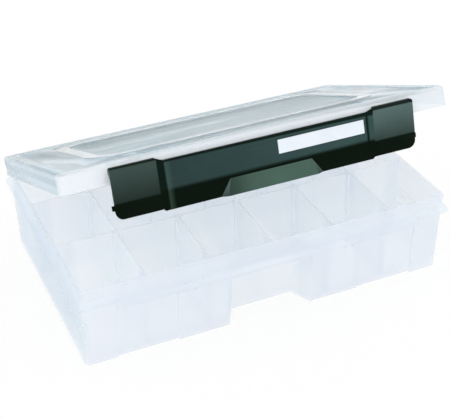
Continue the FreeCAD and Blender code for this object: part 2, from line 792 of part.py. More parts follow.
def latch_hook(side):
    """Hook that snaps under the strike rail."""
    tip_out, tip_up = hook_point()
    root = plate_out(tip_up) - LATCH_WALL / 2
    section = [
        (root, tip_up),
        (tip_out, tip_up),
        (tip_out, tip_up - HOOK_TIP),
        (root - SLOT_CLEARANCE, tip_up - HOOK_ROOT),
    ]
    ends = sorted((side * HOOK_INNER, side * HOOK_OUTER))
    return latch_bar(section, ends[0], ends[1])


def latch_nub(side):
    """Small finger nub on the outer end of a cap."""
    top = -NUB_DROP + NUB_HEIGHT / 2
    bottom = top - NUB_HEIGHT
    back = CAP_BACK - NUB_THICKNESS
    section = [(back, bottom), (CAP_BACK, bottom), (CAP_BACK, top), (back, top)]
    start = LATCH_HALF_LENGTH - CAP_SIDE_WALL / 2
    ends = sorted((side * start, side * (LATCH_HALF_LENGTH + NUB_REACH)))
    return latch_bar(section, ends[0], ends[1])


def label_block(margin, inner, outer):
    """Block along the latch's upper face, from inner below the face to outer above it."""
    top = PLATE_TOP - LABEL_DROP + margin
    bottom = top - LABEL_HEIGHT - 2 * margin
    corners = ((top, -inner), (top, outer), (bottom, outer), (bottom, -inner))
    section = [(plate_out(up) + depth, up) for up, depth in corners]
    half = LABEL_LENGTH / 2 + margin
    return latch_bar(section, LABEL_CENTRE - half, LABEL_CENTRE + half)


def upright_latch():
    """Latch hanging straight down from its pivot."""
    shell = join([latch_wall()] + top_flanges() + [side_wall(-1), side_wall(1)])
    grip, hollow = thumb_piece()
    pieces = [shell.common(latch_front(latch_outline())), grip]
    for side in (-1, 1):
        pieces += latch_knuckle(side)
        pieces.append(latch_hook(side))
        pieces.append(latch_nub(side))
    pocket = label_block(LABEL_MARGIN, LABEL_RECESS, WALL)
    return join(pieces).cut([hollow, pocket] + latch_bores(RUNNING_FIT))


def open_lid(shape):
    """Turn a closed lid piece about the rear hinge to its stored pose."""
    turned = shape.copy()
    turned.rotate(Vector(0, HINGE_Y, HINGE_Z), Vector(-1, 0, 0), LID_OPEN_ANGLE)
    return turned


def lean_latch(shape):
    """Lean an upright latch piece inwards, then open it with the lid."""
    turned = shape.copy()
    turned.rotate(Vector(0, PIVOT_Y, PIVOT_Z), Vector(1, 0, 0), LATCH_LEAN)
    return open_lid(turned)


def write_dividers():
    """Save each divider, numbered from the left in its row."""
    for row, row_name in enumerate(("front", "middle", "back")):
        for number, x in enumerate(divider_positions(), 1):
            write("divider_%s_%d" % (row_name, number), divider(row, x))


def write_pins():
    """Save the rear hinge pins and the latch pins."""
    reach = LID_KNUCKLE / 2 + KNUCKLE_GAP + TRAY_KNUCKLE
    for name, x in hinge_positions().items():
        write("hinge_pin_" + name, rod(HINGE_PIN_RADIUS, x - reach, x + reach, HINGE_Y, HINGE_Z))
    for name, (start, end) in latch_pivot_spans().items():
        write("latch_pin_" + name, open_lid(rod(LATCH_PIN_RADIUS, start, end, PIVOT_Y, PIVOT_Z)))


def main():
    """Make every piece of the box."""
    os.makedirs("parts", exist_ok=True)
    write("base_tray", base_tray())
    write_dividers()
    write("lid", open_lid(closed_lid()))
    write("latch", lean_latch(upright_latch()))
    write("write_on_label", lean_latch(label_block(0, LABEL_RECESS, LABEL_THICKNESS - LABEL_RECESS)))
    write_pins()


main()
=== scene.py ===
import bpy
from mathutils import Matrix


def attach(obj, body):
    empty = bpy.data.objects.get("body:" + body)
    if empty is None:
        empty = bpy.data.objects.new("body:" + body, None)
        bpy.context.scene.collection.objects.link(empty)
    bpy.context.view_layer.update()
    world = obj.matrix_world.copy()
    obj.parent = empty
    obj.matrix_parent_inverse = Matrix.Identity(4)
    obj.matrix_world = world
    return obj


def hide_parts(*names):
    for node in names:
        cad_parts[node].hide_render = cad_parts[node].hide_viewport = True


bl_info = {
    "name": "Tackle box",
    "version": (1, 0, 0),
    "blender": (4, 5, 0),
    "location": "View3D > Sidebar > Tackle Box",
    "description": "Finishes the tray, dividers, lid, latch, pins and stage of a compartment tackle box",
    "category": "Object",
}

from math import cos, radians, sin

import bpy
from bpy.props import FloatProperty, FloatVectorProperty, PointerProperty
from mathutils import Matrix, Vector

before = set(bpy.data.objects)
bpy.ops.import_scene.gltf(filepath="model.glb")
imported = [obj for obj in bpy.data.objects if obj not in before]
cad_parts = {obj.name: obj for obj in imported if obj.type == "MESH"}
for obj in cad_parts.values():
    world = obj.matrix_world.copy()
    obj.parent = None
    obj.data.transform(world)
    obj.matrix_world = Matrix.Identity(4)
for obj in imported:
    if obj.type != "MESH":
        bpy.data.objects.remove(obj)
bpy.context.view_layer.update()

# Lengths are in metres throughout.

# The pose in the photograph: the lid stands open about its rear hinge, and the latch hangs from the lid's
# front edge. LATCH_UP points up the latch's face.
LID_HINGE = Vector((0, 0.1201, 0.0825))
LID_OPEN = radians(23.9)
LATCH_UP = Vector((0, 0.2672, 0.9636))

# The tray. The inner field holds its floor, fixed walls and dividers. The end walls lie outside it and take a
# painted shade, deepest in a band on each of them that widens from its back to its front.
INNER_FIELD = {"Half Length": 0.160, "Half Depth": 0.096, "Corner": 0.008, "Softness": 0.004}
END_WALL_X = (0.1725, 0.1745)
WEDGE_BACK_Y, WEDGE_FRONT_Y = 0.06, -0.10
WEDGE_BACK_Z, WEDGE_FRONT_Z = 0.052, 0.038
WEDGE_BACK_SPREAD, WEDGE_FRONT_SPREAD = 0.005, 0.024
END_WALL_PAINTED_SHADE = 0.25

# The closed lid's top. Each field is its front and back limits along Y, half its length along X and the
# radius of its corners.
LID_TOP_Z = 0.0914
PANEL_FIELD = (-0.06685, 0.07485, 0.1264, 0.021)
BAND_FIELD = (-0.07985, 0.08785, 0.1394, 0.034)
STRIP_FIELD = (-0.10485, -0.08485, 0.1054, 0.008)
FIELD_SOFTNESS = 0.0006

# The closed lid's skirt: it lies outside the inner limits, below the skirt's height, and the fillet above it
# reaches up to the fillet's height. Its front and side tones meet at one Y, and its tones change at two depths
# under the lid's top.
SKIRT_INNER_X = 0.1705
SKIRT_INNER_Y = (-0.1080, 0.1075)
SKIRT_Z = 0.088
FILLET_Z = 0.0911
SKIRT_FRONT_Y = -0.112
SKIRT_FRONT_BLEND = 0.002
SKIRT_HIGH = (-0.0060, -0.0048)
SKIRT_LIP = (-0.0106, -0.0110)

# The latch: its proud ends, its crease, its top edge and its steps, as places along X or as heights along
# LATCH_UP. A pair is where a tone starts and where it is full.
# The latch's tones are painted light and shade: lighter above its crease, up its proud ends and towards the right,
# near black below the crease, with painted shade on its top edge and its steps.
END_EDGE_X = (0.0993, 0.1003)
CREASE = (0.1222, 0.1262)
END_CREASE = (0.1215, 0.1235)
END_FADE = (0.110, 0.1475)
LATCH_TOP = 0.1487
END_RISE = 0.0039
TOP_EDGE_LEFT, TOP_EDGE_RIGHT = 0.0012, 0.0030
TOP_EDGE_BLEND = (-0.0004, 0.0006)
LATCH_HALF_LENGTH = 0.14
# Painted shade on the left step and the right root, and a painted highlight on the left root.
LEFT_STEP_X = ((-0.1008, -0.1000), (-0.0928, -0.0940))
LEFT_ROOT_X = ((-0.0940, -0.0928), (-0.0875, -0.0915))
RIGHT_ROOT_X = ((0.0925, 0.0938), (0.0958, 0.0948))

# The latch's thumb grip and the cheeks beside it. Their faces lean upwards by more than FLARE_LEAN.
THUMB_HALF_LENGTH = 0.0425
THUMB_TOP = 0.1215
# The painted light on the thumb grip grows between these places, from its left end towards its right.
THUMB_LIGHT_X = (-0.044, -0.012)
CHEEK_X = (0.037, 0.0485)
# The painted highlight on the cheeks grows between these heights.
CHEEK_LIGHT = (0.106, 0.119)
FLARE_LEAN = 0.15

# Optics and surface relief.
PLASTIC_IOR = 1.49
TRAY_RELIEF = 0.00003
RIM_RELIEF = 0.00004
LID_RELIEF = 0.00003
LATCH_RELIEF = 0.00004
LABEL_RELIEF = 0.00003
STEEL_RELIEF = 0.00002
DIFFUSE_LIGHT = (0.98, 0.99, 1.0, 1)
DUST = (0.002, 0.004, 0.003, 1)
SCRATCHED = (0.10, 0.12, 0.11, 1)
STEEL_BRIGHT = (0.60, 0.60, 0.59, 1)
STEEL_DULL = (0.48, 0.48, 0.47, 1)

# Meshes.
MERGE_DISTANCE = 0.00001
FLAT_ANGLE = radians(0.4)
SHARP_ANGLE = radians(35)
SMOOTH_ANGLE = radians(32)

# The photograph's width in pixels and the camera that was fitted to it.
PHOTO_WIDTH = 451
FOCAL_PIXELS = 1125.09
SENSOR_WIDTH = 36
CAMERA_TURN, CAMERA_RISE, CAMERA_ROLL = radians(-23.21), radians(32.66), radians(-1.30)
CAMERA_RIGHT, CAMERA_UP, CAMERA_BACK = 0.00306, 0.0424, 1.1185

# The stage. The floor lies just under the box. Each lamp is given by its place and its size.
FLOOR_GAP = 0.0002
FLOOR_WHITE = 0.85
KEY_PLACE, KEY_SIZE = (-0.9, -0.9, 1.4), 1.2
FILL_PLACE, FILL_SIZE = (1.2, -0.3, 1.0), 1.0
BOX_MIDDLE = Vector((0, 0, 0.05))


def colour(name, description, default):
    """A colour that the user may change."""
    return FloatVectorProperty(
        name=name, description=description, subtype="COLOR", size=3, min=0, max=1, default=default
    )


def share(name, description, default):
    """A number from 0 to 1 that the user may change."""
    return FloatProperty(name=name, description=description, subtype="FACTOR", min=0, max=1, default=default)


def distance(name, description, default, low, high):
    """A length in metres that the user may change."""
    return FloatProperty(
        name=name, description=description, subtype="DISTANCE", unit="LENGTH",
        min=low, max=high, precision=5, default=default,
    )


def power(name, description, default):
    """A lamp's power in watts that the user may change."""
    return FloatProperty(name=name, description=description, unit="POWER", min=0, max=50, default=default)


class TackleBoxTraySettings(bpy.types.PropertyGroup):
    """The tray's and the dividers' plastic"""

    tint: colour("Tint", "Colour of the outer walls' translucent plastic", (0.86, 0.89, 0.965))
    # Inner Tint is paler than Tint: painted light that brightens the inside of the box, whose plastic is the same
    # as its walls'.
    inner_tint: colour("Inner Tint", "Colour of the floor, the fixed walls and the dividers", (0.95, 0.96, 1.0))
    shade: colour("Shade", "Colour of the slightly cloudier patches", (0.84, 0.87, 0.95))
    # The darker wedges' colour is painted shade, standing in for the shade seen through the end walls.
    painted_shade_wedge: colour("Wedge", "Colour of the darker wedges on the end walls", (0.74, 0.83, 0.895))
    cover: share("Cover", "How much the outer walls hide what is behind them", 0.28)
    inner_cover: share("Inner Cover", "How much the floor, the fixed walls and the dividers hide", 0.28)
    edge_tint: colour("Edge Tint", "Colour that long ways through the plastic take on", (0.55, 0.86, 1.0))
    edge_depth: FloatProperty(
        name="Edge Depth", description="How quickly the plastic takes on its edge tint, per metre",
        min=0, max=200, default=13,
    )
    glow: share("Light Through", "How much of the plastic's cover the light passes on its way in", 0.85)
    rounding: distance("Edge Rounding", "Radius on the tray's moulded edges", 0.00025, 0, 0.001)


class TackleBoxLidSettings(bpy.types.PropertyGroup):
    """The lid's clear top and its frosted rim"""

    tint: colour("Tint", "Colour of the clear lid", (0.51, 0.74, 0.85))
    panel: colour("Panel", "Colour of the lid's sunk centre panel and front strip", (0.19, 0.44, 0.53))
    band: colour("Band", "Colour of the raised band round the panel", (0.83, 0.93, 0.97))
    rim_front: colour("Rim Front", "Colour of the thick frosted rim at the front", (0.82, 0.865, 0.91))
    rim_side: colour("Rim Side", "Colour of the thick frosted rim at the sides", (0.37, 0.51, 0.61))
    rim_high: colour(
        "Rim High", "Colour of the upper half of the rim and of its lip at the sides", (0.51, 0.64, 0.72)
    )
    clearness: share("Clearness", "How much light is bent through the lid's top", 0.85)
    rim_cover: share("Rim Cover", "How much the lid's rim hides what is behind it", 0.62)
    pale: colour("Pale", "Colour of the lid where it is seen face on", (0.86, 0.92, 0.945))
    paling: share("Paling", "How much of that colour shows where the lid is seen face on", 0.7)
    rounding: distance("Edge Rounding", "Radius on the lid's moulded edges", 0.00025, 0, 0.001)


class TackleBoxLatchSettings(bpy.types.PropertyGroup):
    """The latch's dark plastic and its label"""

    # Upper, Upper Right, Ends and Ends Right are painted light on the latch's plastic, lighter to the right, and
    # Lower is the painted shade below the crease.
    upper: colour("Upper", "Colour of the latch above its crease, at its left", (0.013, 0.040, 0.040))
    upper_right: colour("Upper Right", "Colour of the latch above its crease, at its right", (0.028, 0.068, 0.064))
    lower: colour("Lower", "Colour of the latch below its crease", (0.001, 0.0055, 0.002))
    ends: colour("Ends", "Colour of the top of the left proud end", (0.032, 0.060, 0.052))
    ends_right: colour("Ends Right", "Colour of the top of the right proud end", (0.085, 0.145, 0.135))
    # Thumb is painted light on the grip's upturned facet, and also lends its colour to the painted highlight at
    # the left root.
    thumb: colour("Thumb", "Colour of the worn thumb grip", (0.062, 0.120, 0.094))
    # Cheek is a painted highlight on the sloping cheeks.
    cheek: colour("Cheek", "Colour of the sloping cheeks beside the thumb grip", (0.080, 0.130, 0.125))
    label: colour("Label", "Colour of the write-on label", (0.79, 0.85, 0.92))
    gloss: share("Gloss", "Strength of the polish on the latch's upper part", 0.3)
    rounding: distance("Edge Rounding", "Radius on the latch's moulded edges", 0.0004, 0, 0.001)


class TackleBoxStageSettings(bpy.types.PropertyGroup):
    """The floor, the surround and the lamps"""

    floor_size: distance("Floor Size", "Length of the square floor's side", 8, 1, 20)
    floor_colour: colour("Floor Colour", "Colour of the pale floor", (0.97, 0.97, 0.97))
    surround: share("Surround", "Light of the white surround on the object", 0.99)
    key_power: power("Key Power", "Power of the large lamp at the front left", 3)
    fill_power: power("Fill Power", "Power of the lamp at the right", 1)


def set_sockets(tree, sockets, values):
    """Sets sockets to values, or links them where a value is another node's output."""
    for name, value in values.items():
        if isinstance(value, bpy.types.NodeSocket):
            tree.links.new(value, sockets[name])
        else:
            sockets[name].default_value = value


def add(tree, kind, inputs=None, **settings):
    """A shader node with its settings made and its sockets set."""
    made = tree.nodes.new("ShaderNode" + kind)
    for name, value in settings.items():
        setattr(made, name, value)
    set_sockets(tree, made.inputs, inputs or {})
    return made


def calc(tree, operation, a, b=0.0):
    """The result of one operation on numbers or sockets."""
    return add(tree, "Math", {0: a, 1: b}, operation=operation).outputs[0]


def plus(tree, a, b):
    """The sum of two numbers or sockets."""
    return calc(tree, "ADD", a, b)


def minus(tree, a, b):
    """What is left of the first when the second is taken from it."""
    return calc(tree, "SUBTRACT", a, b)


def times(tree, a, b):
    """The product of two numbers or sockets."""
    return calc(tree, "MULTIPLY", a, b)


def larger(tree, a, b):
    """The larger of two numbers or sockets."""
    return calc(tree, "MAXIMUM", a, b)


def unsigned(tree, a):
    """A number without its sign."""
    return calc(tree, "ABSOLUTE", a)


def blend_colours(tree, factor, a, b):
    """Colour a where the factor is 0, and b where it is 1."""
    return add(tree, "Mix", {0: factor, 6: a, 7: b}, data_type="RGBA").outputs[2]


def remap(tree, value, from_min, from_max, to_min, to_max, smooth=False):
    """A value taken from one range to another."""
    ranges = {"Value": value, "From Min": from_min, "From Max": from_max, "To Min": to_min, "To Max": to_max}
    kind = "SMOOTHSTEP" if smooth else "LINEAR"
    return add(tree, "MapRange", ranges, interpolation_type=kind).outputs["Result"]


def ramp(tree, value, start, full, smooth=False):
    """0 on the start's side and 1 on the full value's side. The start may be the larger of the two."""
    if start < full:
        return remap(tree, value, start, full, 0.0, 1.0, smooth)
    return remap(tree, value, full, start, 1.0, 0.0, smooth)


def between(tree, value, rise, fall):
    """1 between a rise and a fall, each given as its start and its full value."""
    return times(tree, ramp(tree, value, *rise), ramp(tree, value, *fall))


def split(tree, place):
    """A place's X, Y and Z outputs."""
    return add(tree, "SeparateXYZ", {0: place}).outputs


def noise(tree, place, scale, **inputs):
    """The value of a noise, with its other sockets set by name."""
    return add(tree, "TexNoise", {"Vector": place, "Scale": scale, **inputs}).outputs["Fac"]


def rgba(values):
    """A colour of three numbers as an opaque colour of four."""
    return (*values, 1)


def new_group(name, inputs, outputs):
    """An empty node group with its sockets made. Returns the tree, its inputs and its output node's sockets."""
    tree = bpy.data.node_groups.new(name, "ShaderNodeTree")
    for socket_name, kind, default in inputs:
        socket = tree.interface.new_socket(socket_name, in_out="INPUT", socket_type="NodeSocket" + kind)
        if default is not None:
            socket.default_value = default
    for socket_name in outputs:
        tree.interface.new_socket(socket_name, in_out="OUTPUT", socket_type="NodeSocketFloat")
    return tree, tree.nodes.new("NodeGroupInput").outputs, tree.nodes.new("NodeGroupOutput").inputs


def moulded_grain_group():
    """Group: the fine grain and broad cloudiness of injection-moulded plastic."""
    inputs = [
        ("Vector", "Vector", None),
        ("Grain", "Float", 900.0), ("Cloud", "Float", 16.0),
        ("Smoothest", "Float", 0.3), ("Roughest", "Float", 0.5),
    ]
    tree, given, made = new_group("moulded grain", inputs, ["Roughness", "Height", "Clouding"])
    fine = noise(tree, given["Vector"], given["Grain"], Detail=4.0, Roughness=0.6)
    broad = noise(tree, given["Vector"], given["Cloud"], Detail=3.0, Roughness=0.55)
    both = plus(tree, times(tree, fine, 0.4), times(tree, broad, 0.6))
    rough = remap(tree, both, 0.38, 0.62, given["Smoothest"], given["Roughest"])
    set_sockets(tree, made, {"Roughness": rough, "Height": fine, "Clouding": ramp(tree, broad, 0.35, 0.65)})
    return tree


def fine_scratches_group():
    """Group: sparse hairline scratches in two directions, as handling leaves."""
    inputs = [("Vector", "Vector", None), ("Spacing", "Float", 130.0), ("Amount", "Float", 1.0)]
    tree, given, made = new_group("fine scratches", inputs, ["Scratches"])
    lines = []
    for turn in ((0.2, 0.1, 0.5), (0.4, -0.3, -0.9)):
        drawn_out = {"Vector": given["Vector"], "Rotation": turn, "Scale": (0.05, 1.0, 1.0)}
        turned = add(tree, "Mapping", drawn_out).outputs["Vector"]
        marks = noise(tree, turned, given["Spacing"], Detail=2.0, Roughness=0.5)
        lines.append(ramp(tree, marks, 0.66, 0.70))
    set_sockets(tree, made, {"Scratches": times(tree, larger(tree, *lines), given["Amount"])})
    return tree


def rounded_field_group():
    """Group: 1 inside a rounded rectangle about the pattern's own centre, and 0 outside it."""
    inputs = [
        ("Vector", "Vector", None),
        ("Half Length", "Float", 0.1), ("Half Depth", "Float", 0.05),
        ("Corner", "Float", 0.01), ("Softness", "Float", 0.0005),
    ]
    tree, given, made = new_group("rounded field", inputs, ["Inside"])
    place = split(tree, given["Vector"])
    over, squares = [], []
    for axis, half in (("X", "Half Length"), ("Y", "Half Depth")):
        straight = minus(tree, given[half], given["Corner"])
        over.append(minus(tree, unsigned(tree, place[axis]), straight))
        clipped = larger(tree, over[-1], 0.0)
        squares.append(times(tree, clipped, clipped))
    outside = calc(tree, "SQRT", plus(tree, *squares))
    inside = calc(tree, "MINIMUM", larger(tree, *over), 0.0)
    edge = minus(tree, plus(tree, outside, inside), given["Corner"])
    low = times(tree, given["Softness"], -1.0)
    set_sockets(tree, made, {"Inside": remap(tree, edge, low, given["Softness"], 1.0, 0.0)})
    return tree


GROUPS = {
    "moulded grain": moulded_grain_group,
    "fine scratches": fine_scratches_group,
    "rounded field": rounded_field_group,
}


def use_group(tree, name, inputs):
    """The outputs of a shared group, placed in a material with its own values."""
    placed = tree.nodes.new("ShaderNodeGroup")
    placed.node_tree = bpy.data.node_groups.get(name) or GROUPS[name]()
    set_sockets(tree, placed.inputs, inputs)
    return placed.outputs


def moulded_grain(tree, place, grain, cloud, smoothest, roughest):
    """The grain's outputs: Roughness, Height and Clouding."""
    values = {"Vector": place, "Grain": grain, "Cloud": cloud, "Smoothest": smoothest, "Roughest": roughest}
    return use_group(tree, "moulded grain", values)


def fine_scratches(tree, place, spacing, amount):
    """1 on a scratch and 0 elsewhere, by the amount."""
    return use_group(tree, "fine scratches", {"Vector": place, "Spacing": spacing, "Amount": amount})["Scratches"]


def new_material(name):
    """A material with its principled shader. Returns the material, its tree and the Object coordinates."""
    material = bpy.data.materials.new(name)
    material.use_nodes = True
    return material, material.node_tree, add(material.node_tree, "TexCoord").outputs["Object"]


def set_shader(tree, **values):
    """The principled shader's sockets, set or linked by name."""
    spaced = {name.replace("_", " "): value for name, value in values.items()}
    set_sockets(tree, tree.nodes["Principled BSDF"].inputs, spaced)


def bump(tree, height, depth, strength=0.3):
    """A normal from a height, with its depth in metres."""
    return add(tree, "Bump", {"Height": height, "Distance": depth, "Strength": strength}).outputs["Normal"]


def tint_depth(tree, tint, density):
    """The colour that light takes on its way through the plastic."""
    absorb = add(tree, "VolumeAbsorption", {"Color": rgba(tint), "Density": density})
    tree.links.new(absorb.outputs["Volume"], tree.nodes["Material Output"].inputs["Volume"])


def passing_light(tree, passed):
    """1 for rays that see the plastic, and less by the share passed for rays that bring light through it,
    as cloudy plastic spreads light."""
    path = add(tree, "LightPath").outputs
    lighting = larger(tree, path["Is Diffuse Ray"], path["Is Shadow Ray"])
    return minus(tree, 1.0, times(tree, lighting, passed))


def end_wall_painted_shade(tree, place):
    """Painted shade on the tray's end walls: a little all over, and more in a widening band on each."""
    point = split(tree, place)
    on_end = ramp(tree, unsigned(tree, point["X"]), *END_WALL_X)
    forward = ramp(tree, point["Y"], WEDGE_BACK_Y, WEDGE_FRONT_Y)
    middle = remap(tree, forward, 0.0, 1.0, WEDGE_BACK_Z, WEDGE_FRONT_Z)
    spread = remap(tree, forward, 0.0, 1.0, WEDGE_BACK_SPREAD, WEDGE_FRONT_SPREAD)
    painted_shade_wedge = remap(tree, unsigned(tree, minus(tree, point["Z"], middle)), 0.0, spread, 1.0, 0.0, smooth=True)
    painted_shade_wedge = times(tree, painted_shade_wedge, ramp(tree, forward, 0.0, 0.2))
    return times(tree, on_end, remap(tree, painted_shade_wedge, 0.0, 1.0, END_WALL_PAINTED_SHADE, 1.0))


def frosted_plastic(name, settings):
    """The hazy, nearly white translucent plastic of the tray and the dividers."""
    material, tree, place = new_material(name)
    grain = moulded_grain(tree, place, grain=700.0, cloud=13.0, smoothest=0.38, roughest=0.58)
    scratches = fine_scratches(tree, place, spacing=150.0, amount=0.4)
    inner = use_group(tree, "rounded field", {"Vector": place, **INNER_FIELD})["Inside"]
    outer = blend_colours(tree, grain["Clouding"], rgba(settings.tint), rgba(settings.shade))
    # Painted shade: the outer walls' colour darkens towards the painted shade colour on the end walls.
    outer = blend_colours(tree, end_wall_painted_shade(tree, place), outer, rgba(settings.painted_shade_wedge))
    seen = remap(tree, inner, 0.0, 1.0, settings.cover, settings.inner_cover)
    set_shader(
        tree,
        # The inner field's paler colour is painted light on the floor, the fixed walls and the dividers.
        Base_Color=blend_colours(tree, times(tree, inner, 0.9), outer, rgba(settings.inner_tint)),
        Roughness=plus(tree, grain["Roughness"], times(tree, scratches, 0.12)),
        Normal=bump(tree, minus(tree, grain["Height"], scratches), TRAY_RELIEF),
        IOR=PLASTIC_IOR,
        Alpha=times(tree, seen, passing_light(tree, settings.glow)),
    )
    tint_depth(tree, settings.edge_tint, settings.edge_depth)
    return material


def on_open_lid(y, z):
    """The place, at rest, of a point on the centre line of the closed lid."""
    back, height = y - LID_HINGE.y, z - LID_HINGE.z
    turned_back = back * cos(LID_OPEN) + height * sin(LID_OPEN)
    turned_height = -back * sin(LID_OPEN) + height * cos(LID_OPEN)
    return Vector((0, turned_back + LID_HINGE.y, turned_height + LID_HINGE.z))


def on_closed_lid(corner):
    """The Y and Z, on the closed lid, of a point at rest."""
    back, height = corner.y - LID_HINGE.y, corner.z - LID_HINGE.z
    closed_y = back * cos(LID_OPEN) - height * sin(LID_OPEN) + LID_HINGE.y
    closed_z = back * sin(LID_OPEN) + height * cos(LID_OPEN) + LID_HINGE.z
    return closed_y, closed_z


def level_with_lid(tree, place, y):
    """Coordinates that lie level with the lid, about the point of its top that has this Y when it is closed."""
    turned = {"Vector": place, "Location": on_open_lid(y, LID_TOP_Z), "Rotation": (-LID_OPEN, 0, 0)}
    return add(tree, "Mapping", turned, vector_type="TEXTURE").outputs["Vector"]


def lid_field(tree, place, front, back, half_length, corner):
    """1 on a rounded part of the lid's top, given where it lies on the closed lid."""
    field = {
        "Vector": level_with_lid(tree, place, (front + back) / 2),
        "Half Length": half_length,
        "Half Depth": (back - front) / 2,
        "Corner": corner,
        "Softness": FIELD_SOFTNESS,
    }
    return use_group(tree, "rounded field", field)["Inside"]


def frosted_rim_plastic(name, settings, tray):
    """The lid's thick rim and skirt, hazier than its top and whiter along the front."""
    material, tree, place = new_material(name)
    on_lid = split(tree, level_with_lid(tree, place, SKIRT_FRONT_Y))
    behind = ramp(tree, on_lid["Y"], -SKIRT_FRONT_BLEND, SKIRT_FRONT_BLEND)
    pale = larger(tree, ramp(tree, on_lid["Z"], *SKIRT_HIGH), ramp(tree, on_lid["Z"], *SKIRT_LIP))
    side = blend_colours(tree, pale, rgba(settings.rim_side), rgba(settings.rim_high))
    tone = blend_colours(tree, behind, rgba(settings.rim_front), side)
    grain = moulded_grain(tree, place, grain=500.0, cloud=20.0, smoothest=0.18, roughest=0.30)
    set_shader(
        tree,
        Base_Color=blend_colours(tree, times(tree, grain["Clouding"], 0.2), tone, rgba(settings.band)),
        Roughness=grain["Roughness"],
        Normal=bump(tree, grain["Height"], RIM_RELIEF, strength=0.15),
        IOR=PLASTIC_IOR,
        Alpha=times(tree, settings.rim_cover, passing_light(tree, tray.glow)),
    )
    return material


def on_rim(corners, normal):
    """Chooses the faces of the lid's skirt and of the fillet above it, given where the lid stands open."""
    closed = [on_closed_lid(corner) for corner in corners]
    front, back = SKIRT_INNER_Y
    for corner, (closed_y, _) in zip(corners, closed):
        if abs(corner.x) < SKIRT_INNER_X and front < closed_y < back:
            return False
    upward = normal.y * sin(LID_OPEN) + normal.z * cos(LID_OPEN)
    return min(closed_z for _, closed_z in closed) < (FILLET_Z if upward > 0.05 else SKIRT_Z)


def glossy_clear_plastic(name, settings):
    """The lid's clear polished plastic, with its duller sunk panel and brighter raised band."""
    material, tree, place = new_material(name)
    panel = lid_field(tree, place, *PANEL_FIELD)
    band = minus(tree, lid_field(tree, place, *BAND_FIELD), panel)
    sunk = larger(tree, panel, lid_field(tree, place, *STRIP_FIELD))
    grain = moulded_grain(tree, place, grain=420.0, cloud=9.0, smoothest=0.10, roughest=0.22)
    scratches = fine_scratches(tree, place, spacing=110.0, amount=0.7)
    drawn_out = {"Vector": place, "Rotation": (-LID_OPEN, 0, 0.15), "Scale": (3.0, 22.0, 1.0)}
    flow = add(tree, "Mapping", drawn_out).outputs["Vector"]
    streaks = ramp(tree, noise(tree, flow, 1.6, Detail=3.0, Distortion=0.6), 0.4, 0.62, smooth=True)
    facing = add(tree, "LayerWeight", {"Blend": 0.5}).outputs["Facing"]
    lighting = add(tree, "LightPath").outputs["Is Diffuse Ray"]
    tone = blend_colours(tree, band, rgba(settings.tint), rgba(settings.band))
    tone = blend_colours(tree, sunk, tone, rgba(settings.panel))
    tone = blend_colours(tree, times(tree, streaks, 0.35), tone, rgba(settings.band))
    tone = blend_colours(tree, remap(tree, facing, 0.35, 0.80, settings.paling, 0.0), tone, rgba(settings.pale))
    dulled = plus(tree, times(tree, sunk, 0.04), times(tree, scratches, 0.18))
    set_shader(
        tree,
        Base_Color=blend_colours(tree, lighting, tone, DIFFUSE_LIGHT),
        Roughness=plus(tree, grain["Roughness"], dulled),
        Normal=bump(tree, minus(tree, grain["Height"], scratches), LID_RELIEF, strength=0.03),
        IOR=PLASTIC_IOR,
        Transmission_Weight=settings.clearness,
    )
    return material


def dark_plastic(name, colouring):
    """The latch's dark plastic. The colouring gives a colour and a polish from the tree and the coordinates."""
    material, tree, place = new_material(name)
    tone, polish = colouring(tree, place)
    grain = moulded_grain(tree, place, grain=1500.0, cloud=30.0, smoothest=0.26, roughest=0.40)
    scratches = fine_scratches(tree, place, spacing=340.0, amount=1.0)
    clouded = blend_colours(tree, times(tree, grain["Clouding"], 0.16), tone, DUST)
    set_shader(
        tree,
        Base_Color=blend_colours(tree, times(tree, scratches, 0.03), clouded, SCRATCHED),
        Roughness=plus(tree, grain["Roughness"], times(tree, scratches, 0.10)),
        Normal=bump(tree, minus(tree, grain["Height"], times(tree, scratches, 0.3)), LATCH_RELIEF),
        Specular_IOR_Level=0.04,
        Coat_Weight=polish,
        Coat_Roughness=0.22,
    )
    return material


def up_the_latch(tree, place):
    """The height along the latch's face."""
    return add(tree, "VectorMath", {0: place, 1: LATCH_UP}, operation="DOT_PRODUCT").outputs["Value"]


